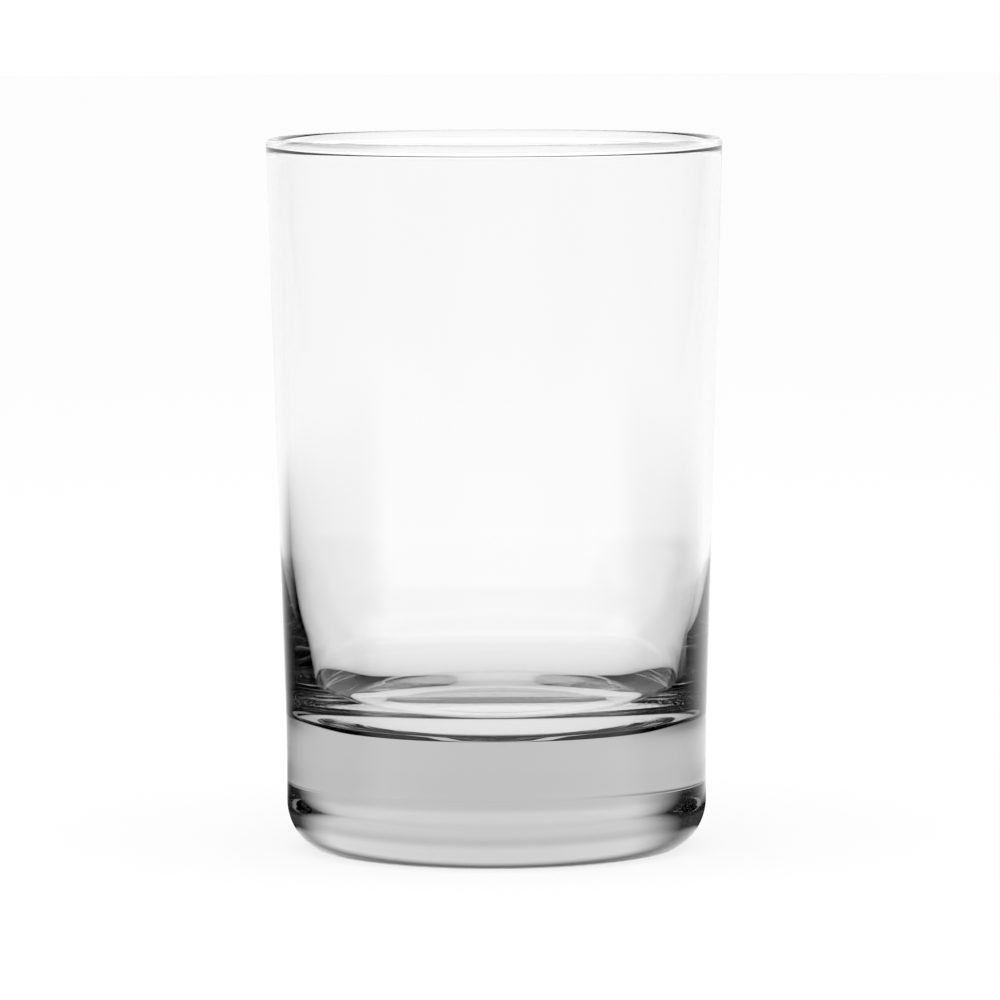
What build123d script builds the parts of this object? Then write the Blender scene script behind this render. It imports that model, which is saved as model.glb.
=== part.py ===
from build123d import *
from math import atan, hypot, tan
import os

# Juice glass: one piece of clear soda-lime glass, turned about Z.
# The origin is the centre of the foot, on the surface that the glass stands on.

# Driving dimensions, in millimetres

# Outside
height = 99.0  # foot to lip
rim_diameter = 63.5  # across the lip
base_diameter = 58.6  # across the straight band above the heel
band_height = 15.6  # foot to where the flare starts
band_blend_radius = 150.0  # eases the straight band into the flare
heel_height = 6.6  # foot to where the heel's curve meets the band
foot_diameter = 51.0  # across the edge between the heel and the foot
foot_edge_radius = 0.4  # rounding of that edge

# Wall and lip
wall_thickness = 1.55  # glass below the lip, down to where the wall starts to thicken
bead_proud = 0.35  # how far the bead inside the lip stands in from the wall
underside_flat = 0.007  # flat left between the two roundings under the bead
lip_flat = 0.1  # crown left between the lip's two roundings
taper_start = 36.0  # foot to where the wall starts to thicken
taper_blend_radius = 70.0  # eases the wall into the taper

# Solid base, called the sham
sham_thickness = 16.9  # foot to inside floor
floor_diameter = 32.0  # across the flat of the inside floor
dish_rise = 2.2  # how far the floor's edge rises towards the taper
dish_diameter = 50.6  # across the floor where its rising edge would meet the taper
dish_blend_radius = 3.0  # eases the flat of the floor into its rising edge
corner_radius = 7.5  # rounding between the rising edge and the taper

# Underside
foot_ring_width = 4.0  # flat ring that the glass stands on
push_up_depth = 1.5  # hollow inside the foot ring

rim_radius = rim_diameter / 2
base_radius = base_diameter / 2
foot_radius = foot_diameter / 2

# The wall's outside leans from the band to the rim; the wall is measured level.
flare = (rim_radius - base_radius) / (height - band_height)

# The lip is a round bead: its underside slopes at 45 degrees back to the wall.
lip_thickness = wall_thickness + bead_proud
lip_radius = (lip_thickness - lip_flat) / 2
bead_blend_radius = 2.4 * bead_proud
bead_height = lip_radius + bead_blend_radius / 2
neck_height = bead_height + bead_proud

# The bead's two roundings share the length of its underside, less the flat between them.
underside_length = bead_proud * hypot(1 - flare, 1)
underside_turn = atan(1 - flare) + atan(flare)
shared_radius = (underside_length - underside_flat) / tan(underside_turn / 2)
neck_blend_radius = shared_radius - bead_blend_radius

bead_radius = rim_radius - flare * bead_height - lip_thickness
neck_radius = rim_radius - flare * neck_height - wall_thickness
taper_radius = base_radius + flare * (taper_start - band_height) - wall_thickness

# Corners of the section, from the axis under the base, round the outside, to the inside floor
push_up_crown = (0, push_up_depth)
foot_inner_edge = (foot_radius - foot_ring_width, 0)
foot_edge = (foot_radius, 0)
heel_top = (base_radius, heel_height)
band_top = (base_radius, band_height)
lip_outer_corner = (rim_radius, height)
lip_inner_corner = (rim_radius - lip_thickness, height)
bead_corner = (bead_radius, height - bead_height)
neck_corner = (neck_radius, height - neck_height)
taper_corner = (taper_radius, taper_start)
dish_corner = (dish_diameter / 2, sham_thickness + dish_rise)
floor_edge = (floor_diameter / 2, sham_thickness)
floor_centre = (0, sham_thickness)

with BuildPart() as tumbler:
    with BuildSketch(Plane.XZ) as section:
        with BuildLine():
            TangentArc(push_up_crown, foot_inner_edge, tangent=(1, 0))
            Line(foot_inner_edge, foot_edge)
            TangentArc(heel_top, foot_edge, tangent=(0, -1))
            Polyline(
                heel_top,
                band_top,
                lip_outer_corner,
                lip_inner_corner,
                bead_corner,
                neck_corner,
                taper_corner,
                dish_corner,
                floor_edge,
                floor_centre,
                push_up_crown,
            )
        make_face()
        roundings = (
            (foot_edge, foot_edge_radius),
            (band_top, band_blend_radius),
            (lip_outer_corner, lip_radius),
            (lip_inner_corner, lip_radius),
            (bead_corner, bead_blend_radius),
            (neck_corner, neck_blend_radius),
            (taper_corner, taper_blend_radius),
            (dish_corner, corner_radius),
            (floor_edge, dish_blend_radius),
        )
        for corner, radius in roundings:
            fillet(section.vertices().sort_by_distance(corner)[0], radius)
    revolve(axis=Axis.Z)
tumbler.part.label = "tumbler"

os.makedirs("parts", exist_ok=True)
export_step(tumbler.part, "parts/tumbler.step")
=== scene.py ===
import math

import bmesh
import bpy
from mathutils import Matrix, Vector


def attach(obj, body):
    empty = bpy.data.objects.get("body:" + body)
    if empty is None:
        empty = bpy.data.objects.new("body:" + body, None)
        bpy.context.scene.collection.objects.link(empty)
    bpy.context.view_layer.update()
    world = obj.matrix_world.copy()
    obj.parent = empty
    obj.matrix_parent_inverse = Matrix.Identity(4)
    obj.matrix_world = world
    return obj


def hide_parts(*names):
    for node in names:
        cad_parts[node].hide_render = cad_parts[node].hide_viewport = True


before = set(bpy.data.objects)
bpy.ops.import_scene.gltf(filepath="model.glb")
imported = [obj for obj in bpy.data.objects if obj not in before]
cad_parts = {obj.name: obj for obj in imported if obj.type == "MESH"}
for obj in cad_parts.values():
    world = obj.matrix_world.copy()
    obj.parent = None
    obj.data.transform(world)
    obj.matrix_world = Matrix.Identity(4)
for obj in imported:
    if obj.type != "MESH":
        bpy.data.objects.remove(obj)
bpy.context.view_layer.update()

# Sizes of the glass in millimetres, the same as the solid's
MM = 0.001
HEIGHT = 99.0
RIM_RADIUS = 31.75
BASE_RADIUS = 29.3
BAND_HEIGHT = 15.6
BAND_BLEND = 150.0
HEEL_HEIGHT = 6.6
FOOT_RADIUS = 25.5
FOOT_EDGE = 0.4
LIP_THICKNESS = 1.9
LIP_RADIUS = 0.9
BEAD_HEIGHT = 1.32
BEAD_BLEND = 0.84
NECK_HEIGHT = 1.67
NECK_BLEND = 0.3
WALL_THICKNESS = 1.55
TAPER_START = 36.0
TAPER_BLEND = 70.0
SHAM_THICKNESS = 16.9
FLOOR_RADIUS = 16.0
DISH_RISE = 2.2
DISH_RADIUS = 25.3
DISH_BLEND = 3.0
CORNER_RADIUS = 7.5
FOOT_RING_WIDTH = 4.0
PUSH_UP_DEPTH = 1.5

# Fineness of the mesh: steps round the glass, along the two arcs under it, and the longest straight run
TURNS = 256
DOME_STEPS = 24
HEEL_STEPS = 20
FOOT_EDGE_STEPS = 4
LONGEST_RUN = 1.0
MERGE_DISTANCE = 0.002


# Tumbler: one line round half of the section, rounded at its corners and turned about Z

def carry_round(bm, start, centre, angle, steps):
    """Draw an arc in the section's plane by carrying a point round a centre, and return its end."""
    arc = bmesh.ops.spin(
        bm,
        geom=[start],
        cent=(centre[0] * MM, 0, centre[1] * MM),
        axis=(0, 1, 0),
        angle=angle,
        steps=steps,
        use_merge=False,
    )
    return next(v for v in arc["geom_last"] if isinstance(v, bmesh.types.BMVert))


def draw_section(bm):
    """Lay out the section, from under the base, up the outside, over the lip and down inside."""
    foot_inner = FOOT_RADIUS - FOOT_RING_WIDTH
    dome_radius = (foot_inner ** 2 + PUSH_UP_DEPTH ** 2) / (2 * PUSH_UP_DEPTH)
    crown = bm.verts.new((0, 0, PUSH_UP_DEPTH * MM))
    dome_angle = math.asin(foot_inner / dome_radius)
    ring_inside = carry_round(bm, crown, (0, PUSH_UP_DEPTH - dome_radius), dome_angle, DOME_STEPS)

    heel_reach = BASE_RADIUS - FOOT_RADIUS
    heel_radius = (heel_reach ** 2 + HEEL_HEIGHT ** 2) / (2 * heel_reach)
    heel_angle = math.asin(HEEL_HEIGHT / heel_radius)
    foot_edge = bm.verts.new((FOOT_RADIUS * MM, 0, 0))
    bm.edges.new((ring_inside, foot_edge))
    heel_centre = (BASE_RADIUS - heel_radius, HEEL_HEIGHT)
    last = carry_round(bm, foot_edge, heel_centre, -heel_angle, HEEL_STEPS)

    flare = (RIM_RADIUS - BASE_RADIUS) / (HEIGHT - BAND_HEIGHT)
    taper_radius = BASE_RADIUS + flare * (TAPER_START - BAND_HEIGHT) - WALL_THICKNESS
    bead_radius = RIM_RADIUS - flare * BEAD_HEIGHT - LIP_THICKNESS
    neck_radius = RIM_RADIUS - flare * NECK_HEIGHT - WALL_THICKNESS
    # Each corner: its radius, its height, its rounding and the steps in that rounding
    corners = (
        (BASE_RADIUS, BAND_HEIGHT, BAND_BLEND, 8),
        (RIM_RADIUS, HEIGHT, LIP_RADIUS, 14),
        (RIM_RADIUS - LIP_THICKNESS, HEIGHT, LIP_RADIUS, 14),
        (bead_radius, HEIGHT - BEAD_HEIGHT, BEAD_BLEND, 8),
        (neck_radius, HEIGHT - NECK_HEIGHT, NECK_BLEND, 8),
        (taper_radius, TAPER_START, TAPER_BLEND, 16),
        (DISH_RADIUS, SHAM_THICKNESS + DISH_RISE, CORNER_RADIUS, 28),
        (FLOOR_RADIUS, SHAM_THICKNESS, DISH_BLEND, 8),
        (0, SHAM_THICKNESS, 0, 0),
    )
    roundings = [(foot_edge, FOOT_EDGE * MM, FOOT_EDGE_STEPS)]
    for radius, height, rounding, segments in corners:
        corner = bm.verts.new((radius * MM, 0, height * MM))
        bm.edges.new((last, corner))
        if rounding:
            roundings.append((corner, rounding * MM, segments))
        last = corner
    return roundings


def round_corner(bm, corner, radius, segments):
    """Round one corner of the line to a radius."""
    first, second = [e.other_vert(corner).co - corner.co for e in corner.link_edges]
    reach = radius / math.tan(first.angle(second) / 2)
    bmesh.ops.bevel(
        bm,
        geom=[corner],
        offset=reach,
        offset_type="OFFSET",
        segments=segments,
        profile=0.5,
        affect="VERTICES",
        material=-1,
        clamp_overlap=False,
    )


def even_out(bm, longest):
    """Divide the long runs of the line, so that the faces turned from it stay near square."""
    for edge in list(bm.edges):
        cuts = int(edge.calc_length() / longest)
        if cuts:
            bmesh.ops.subdivide_edges(bm, edges=[edge], cuts=cuts)


def make_tumbler():
    bm = bmesh.new()
    for corner, radius, segments in draw_section(bm):
        round_corner(bm, corner, radius, segments)
    even_out(bm, LONGEST_RUN * MM)
    bmesh.ops.spin(
        bm,
        geom=bm.verts[:] + bm.edges[:],
        cent=(0, 0, 0),
        axis=(0, 0, 1),
        angle=math.tau,
        steps=TURNS,
        use_merge=True,
    )
    bmesh.ops.remove_doubles(bm, verts=bm.verts[:], dist=MERGE_DISTANCE * MM)
    bmesh.ops.recalc_face_normals(bm, faces=bm.faces[:])
    for face in bm.faces:
        face.smooth = True
    mesh = bpy.data.meshes.new("tumbler_glass")
    bm.to_mesh(mesh)
    bm.free()
    tumbler = bpy.data.objects.new("tumbler_glass", mesh)
    bpy.context.scene.collection.objects.link(tumbler)
    return tumbler


# Node helpers

def feed(links, value, socket):
    """Set a socket to a number, or link an output to it."""
    if isinstance(value, (int, float)):
        socket.default_value = value
    else:
        links.new(value, socket)


def calc(nodes, links, operation, *values):
    """One Math node; each value is a number or an output to link."""
    node = nodes.new("ShaderNodeMath")
    node.operation = operation
    for socket, value in zip(node.inputs, values):
        feed(links, value, socket)
    return node.outputs[0]


def chain(nodes, links, operation, first, *rest):
    """Join several values by one operation, two at a time."""
    for value in rest:
        first = calc(nodes, links, operation, first, value)
    return first


def fade(nodes, links, value, span, low=0.0, high=1.0):
    """Go smoothly from low at the start of a span to high at its end."""
    node = nodes.new("ShaderNodeMapRange")
    node.interpolation_type = "SMOOTHSTEP"
    node.inputs["From Min"].default_value, node.inputs["From Max"].default_value = span
    node.inputs["To Min"].default_value = low
    node.inputs["To Max"].default_value = high
    links.new(value, node.inputs["Value"])
    return node.outputs["Result"]


def blend(nodes, links, share, first, second):
    """Mix two values; share 0 gives the first and 1 the second."""
    node = nodes.new("ShaderNodeMix")
    for name, value in (("Factor", share), ("A", first), ("B", second)):
        feed(links, value, node.inputs[name])
    return node.outputs["Result"]


def noise(nodes, links, place, scale, detail):
    """Noise that stays with the object."""
    node = nodes.new("ShaderNodeTexNoise")
    node.inputs["Scale"].default_value = scale
    node.inputs["Detail"].default_value = detail
    links.new(place.outputs["Object"], node.inputs["Vector"])
    return node.outputs["Fac"]


# Glass

GLASS_IOR = 1.52
GLASS_TINT = (0.9, 0.9, 0.9, 1)
GLASS_DENSITY = 110.0

# Scuffs are fine grain on the foot ring only; the span is height above the table.
SCUFF_SCALE = 900.0
SCUFF_DETAIL = 3.0
SCUFF_HEIGHT = (0.12 * MM, 0.03 * MM)
SCUFF_GRAIN = (0.4, 0.65)
SCUFF_ROUGHNESS = (0.05, 0.3)

# Ripples are slow waves in the skin of the whole glass.
RIPPLE_SCALE = 70.0
RIPPLE_DETAIL = 1.0
RIPPLE_STRENGTH = 0.05
RIPPLE_HEIGHT = 0.2 * MM


def clear_glass():
    """Fire-polished glass that darkens with depth, with a faintly wavy skin and a scuffed foot ring."""
    material = bpy.data.materials.new("clear_glass")
    material.use_nodes = True
    nodes, links = material.node_tree.nodes, material.node_tree.links
    glass = nodes["Principled BSDF"]
    glass.inputs["Base Color"].default_value = (1, 1, 1, 1)
    glass.inputs["IOR"].default_value = GLASS_IOR
    glass.inputs["Transmission Weight"].default_value = 1.0

    place = nodes.new("ShaderNodeTexCoord")
    axes = nodes.new("ShaderNodeSeparateXYZ")
    links.new(place.outputs["Object"], axes.inputs[0])
    grain = noise(nodes, links, place, SCUFF_SCALE, SCUFF_DETAIL)
    on_the_foot = fade(nodes, links, axes.outputs["Z"], SCUFF_HEIGHT)
    worn = fade(nodes, links, grain, SCUFF_GRAIN, *SCUFF_ROUGHNESS)
    links.new(calc(nodes, links, "MULTIPLY", on_the_foot, worn), glass.inputs["Roughness"])

    skin = nodes.new("ShaderNodeBump")
    skin.inputs["Strength"].default_value = RIPPLE_STRENGTH
    skin.inputs["Distance"].default_value = RIPPLE_HEIGHT
    links.new(noise(nodes, links, place, RIPPLE_SCALE, RIPPLE_DETAIL), skin.inputs["Height"])
    links.new(skin.outputs["Normal"], glass.inputs["Normal"])

    depth = nodes.new("ShaderNodeVolumeAbsorption")
    depth.inputs["Color"].default_value = GLASS_TINT
    depth.inputs["Density"].default_value = GLASS_DENSITY
    links.new(depth.outputs["Volume"], nodes["Material Output"].inputs["Volume"])
    return material


# Studio: a white sweep behind and under the glass, in a dark room that shows only in the glass

# Sectors: centre, half-width at full strength and half-width at none, in degrees from straight behind
FLOOR_BACK = (12, 20, 58)
SWEEP_BACK = (6, 34, 62)
BEHIND = (-4, 100, 122)
QUARTERS = (0, 70, 88)

# Floor: distances from the axis over which its painted side shade and its painted shadow ring round the
# foot start and end
FLOOR_SIZE = 4.0
AIR_UNDER_FOOT = 0.1 * MM
UNDER_FOOT = (24 * MM, 31 * MM)
PAINTED_SHADE_START = (30 * MM, 33 * MM)
PAINTED_SHADE_END = (0.3, 0.65)
PAINTED_SHADE_FAR = 0.05
THROUGH_START = (0.12, 0.22)
PAINTED_SHADOW_RING_END = (55 * MM, 80 * MM)

# Room: heights above the horizon over which each light starts or ends, in degrees
SWEEP_RISE = (3, 10)
SWEEP_END = (20, 32)
AHEAD_END = (14, 26)
CEILING_START = (50, 70)
HAZE_END = (1.5, 5)
CARD_END = (24, 34)

# Strengths, where 1 is white
FLOOR_GLOW = 0.8
FLOOR_PAINT = 0.95
# LIGHT_UNDER_FOOT is painted light: extra glow on the floor under the foot for rays that met the glass
LIGHT_UNDER_FOOT = 0.3
# SIDE_THROUGH is how dark the painted side shade is for rays that went straight through the glass
SIDE_THROUGH = 0.75
ROOM_LIGHT = 0.92
DARK_ROOM = 0.03
BACKDROP = 1.0
SWEEP_TOP = 1.2
CEILING = 0.9
HAZE = 0.9
FRONT_CARD = 0.7


def turn_group():
    """The turn of a direction about Z, measured from straight behind the glass."""
    group = bpy.data.node_groups.new("turn_from_behind", "ShaderNodeTree")
    group.interface.new_socket("Direction", in_out="INPUT", socket_type="NodeSocketVector")
    group.interface.new_socket("Turn", in_out="OUTPUT", socket_type="NodeSocketFloat")
    nodes, links = group.nodes, group.links
    entry = nodes.new("NodeGroupInput")
    out = nodes.new("NodeGroupOutput")
    axes = nodes.new("ShaderNodeSeparateXYZ")
    links.new(entry.outputs["Direction"], axes.inputs[0])
    links.new(calc(nodes, links, "ARCTAN2", axes.outputs["X"], axes.outputs["Y"]), out.inputs["Turn"])
    return group


def turn_of(nodes, links, group, direction):
    """Put the turn group to work on one direction."""
    node = nodes.new("ShaderNodeGroup")
    node.node_tree = group
    links.new(direction, node.inputs["Direction"])
    return node.outputs["Turn"]


def sector(nodes, links, turn, centre, full, none):
    """1 round a centre direction, fading to 0 away from it; the angles are in degrees."""
    off = calc(nodes, links, "ABSOLUTE", calc(nodes, links, "SUBTRACT", turn, math.radians(centre)))
    return fade(nodes, links, off, (math.radians(full), math.radians(none)), 1.0, 0.0)


def ray_masks(nodes, links):
    """Three values: does a ray look at the background, did it meet the glass, how often was it mirrored."""
    path = nodes.new("ShaderNodeLightPath")
    met = calc(nodes, links, "MAXIMUM", path.outputs["Is Transmission Ray"], path.outputs["Is Glossy Ray"])
    seen = calc(nodes, links, "MAXIMUM", path.outputs["Is Camera Ray"], met)
    return seen, met, path.outputs["Glossy Depth"]


def floor_white(turn_from_behind):
    """White, with painted shade at the sides and a painted shadow ring round the foot, seen only by rays
    that met the glass.
    """
    material = bpy.data.materials.new("floor_white")
    material.use_nodes = True
    nodes, links = material.node_tree.nodes, material.node_tree.links
    nodes.clear()
    seen, met, mirrored = ray_masks(nodes, links)
    place = nodes.new("ShaderNodeTexCoord").outputs["Object"]
    turn = turn_of(nodes, links, turn_from_behind, place)
    length = nodes.new("ShaderNodeVectorMath")
    length.operation = "LENGTH"
    links.new(place, length.inputs[0])
    reach = length.outputs["Value"]

    # Painted shade: dark sectors on the floor at the sides, seen only by rays that met the glass, stand in
    # for dark surroundings
    back = sector(nodes, links, turn, *FLOOR_BACK)
    behind = sector(nodes, links, turn, *BEHIND)
    twice = calc(nodes, links, "GREATER_THAN", mirrored, 1.5)
    sides = calc(nodes, links, "SUBTRACT", calc(nodes, links, "MAXIMUM", behind, twice), back)
    clear_of_foot = fade(nodes, links, reach, PAINTED_SHADE_START)
    extent = fade(nodes, links, reach, PAINTED_SHADE_END, 1.0, PAINTED_SHADE_FAR)
    painted_side_shade = chain(nodes, links, "MULTIPLY", sides, clear_of_foot, extent)
    quarters = sector(nodes, links, turn, *QUARTERS)
    apart = fade(nodes, links, reach, THROUGH_START, 0.0, SIDE_THROUGH)
    # Painted shade for rays that went straight through the glass, weaker and only far from the foot
    through = chain(nodes, links, "MULTIPLY", painted_side_shade, quarters, met, apart)
    # Painted shadow: a dark ring on the floor round the foot, for mirrored rays
    near = fade(nodes, links, reach, PAINTED_SHADOW_RING_END, 1.0, 0.0)
    ring = calc(nodes, links, "MULTIPLY", clear_of_foot, near)
    inside = calc(nodes, links, "MAXIMUM", painted_side_shade, ring)
    once = calc(nodes, links, "GREATER_THAN", mirrored, 0.5)
    level = calc(nodes, links, "SUBTRACT", 1.0, blend(nodes, links, once, through, inside))
    # Painted light: extra glow on the floor under the foot for rays that met the glass
    caught = fade(nodes, links, reach, UNDER_FOOT, LIGHT_UNDER_FOOT, 0.0)
    gathered = calc(nodes, links, "ADD", level, calc(nodes, links, "MULTIPLY", caught, met))

    paint = nodes.new("ShaderNodeBsdfDiffuse")
    # The painted shade and painted shadow darken the floor's paint as well as its glow
    links.new(calc(nodes, links, "MULTIPLY", level, FLOOR_PAINT), paint.inputs["Color"])
    glow = nodes.new("ShaderNodeEmission")
    links.new(gathered, glow.inputs["Strength"])
    mix = nodes.new("ShaderNodeMixShader")
    links.new(calc(nodes, links, "MULTIPLY", seen, FLOOR_GLOW), mix.inputs["Fac"])
    links.new(paint.outputs[0], mix.inputs[1])
    links.new(glow.outputs[0], mix.inputs[2])
    out = nodes.new("ShaderNodeOutputMaterial")
    links.new(mix.outputs[0], out.inputs["Surface"])
    return material


def make_floor(turn_from_behind):
    bm = bmesh.new()
    bmesh.ops.create_grid(bm, x_segments=1, y_segments=1, size=FLOOR_SIZE)
    mesh = bpy.data.meshes.new("floor")
    bm.to_mesh(mesh)
    bm.free()
    floor = bpy.data.objects.new("floor", mesh)
    floor.location.z = -AIR_UNDER_FOOT
    floor.data.materials.append(floor_white(turn_from_behind))
    bpy.context.scene.collection.objects.link(floor)


SOFTBOX_SIZE = (1.2, 0.9)
SOFTBOX_POWER = 3.0
SOFTBOX_PLACE = (0, -0.35, 0.8)
SOFTBOX_AIM = (0, 0.35, -0.75)


def make_softbox():
    lamp = bpy.data.lights.new("softbox", "AREA")
    lamp.shape = "RECTANGLE"
    lamp.size, lamp.size_y = SOFTBOX_SIZE
    lamp.energy = SOFTBOX_POWER
    softbox = bpy.data.objects.new("softbox", lamp)
    softbox.location = SOFTBOX_PLACE
    softbox.rotation_euler = Vector(SOFTBOX_AIM).to_track_quat("-Z", "Y").to_euler()
    softbox.visible_transmission = False
    softbox.visible_glossy = False
    bpy.context.scene.collection.objects.link(softbox)


def by_rise(nodes, links, rise, span, low, high):
    """Go smoothly from low to high over a span of heights above the horizon, in degrees."""
    return fade(nodes, links, rise, [math.radians(angle) for angle in span], low, high)


def make_world(turn_from_behind):
    """Even light and a white backdrop, and a dark room with lights for rays that met the glass."""
    world = bpy.data.worlds.new("studio")
    world.use_nodes = True
    bpy.context.scene.world = world
    nodes, links = world.node_tree.nodes, world.node_tree.links
    seen, met, mirrored = ray_masks(nodes, links)
    direction = nodes.new("ShaderNodeTexCoord").outputs["Generated"]
    turn = turn_of(nodes, links, turn_from_behind, direction)
    axes = nodes.new("ShaderNodeSeparateXYZ")
    links.new(direction, axes.inputs[0])
    rise = calc(nodes, links, "ARCSINE", axes.outputs["Z"])

    back = sector(nodes, links, turn, *SWEEP_BACK)
    below = by_rise(nodes, links, rise, SWEEP_END, 1.0, 0.0)
    glow = by_rise(nodes, links, rise, SWEEP_RISE, 1.0, SWEEP_TOP)
    sweep = chain(nodes, links, "MULTIPLY", back, below, glow)

    front = calc(nodes, links, "SUBTRACT", 1.0, sector(nodes, links, turn, *BEHIND))
    straight = calc(nodes, links, "LESS_THAN", mirrored, 0.5)
    low = by_rise(nodes, links, rise, AHEAD_END, 1.0, 0.0)
    ahead = chain(nodes, links, "MULTIPLY", front, low, straight)
    high = by_rise(nodes, links, rise, CEILING_START, 0.0, CEILING)
    ceiling = calc(nodes, links, "MULTIPLY", high, straight)

    once = calc(nodes, links, "COMPARE", mirrored, 1.0, 0.5)
    haze = calc(nodes, links, "MULTIPLY", by_rise(nodes, links, rise, HAZE_END, HAZE, 0.0), once)
    once_or_twice = calc(nodes, links, "COMPARE", mirrored, 1.5, 0.6)
    upright = by_rise(nodes, links, rise, CARD_END, FRONT_CARD, 0.0)
    card = chain(nodes, links, "MULTIPLY", front, upright, once_or_twice)

    room = chain(nodes, links, "MAXIMUM", sweep, ahead, ceiling, haze, card, DARK_ROOM)
    view = blend(nodes, links, met, BACKDROP, room)
    links.new(blend(nodes, links, seen, ROOM_LIGHT, view), nodes["Background"].inputs["Strength"])
    nodes["Background"].inputs["Color"].default_value = (1, 1, 1, 1)


# Camera, at the height and distance that the photograph was taken from

SENSOR_WIDTH = 36.0
FOCAL_LENGTH = 258.9
EYE = Vector((0, -1.0, 0.1347))
TARGET = Vector((0.00063, 0, 0.0484))
ROLL = math.radians(-0.22)


def make_camera():
    lens = bpy.data.cameras.new("camera")
    lens.sensor_width = SENSOR_WIDTH
    lens.lens = FOCAL_LENGTH
    lens.clip_start = 0.01
    lens.clip_end = 50.0
    camera = bpy.data.objects.new("camera", lens)
    aim = (TARGET - EYE).to_track_quat("-Z", "Y").to_matrix().to_4x4()
    camera.matrix_world = Matrix.Translation(EYE) @ aim @ Matrix.Rotation(ROLL, 4, "Z")
    bpy.context.scene.collection.objects.link(camera)
    bpy.context.scene.camera = camera


tumbler = make_tumbler()
tumbler.data.materials.append(clear_glass())
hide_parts("tumbler")
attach(tumbler, "root")

turn_from_behind = turn_group()
make_floor(turn_from_behind)
make_softbox()
make_world(turn_from_behind)
make_camera()

BOUNCES = 48
scene = bpy.context.scene
scene.view_settings.view_transform = "Standard"
scene.cycles.max_bounces = BOUNCES
scene.cycles.glossy_bounces = BOUNCES
scene.cycles.transmission_bounces = BOUNCES
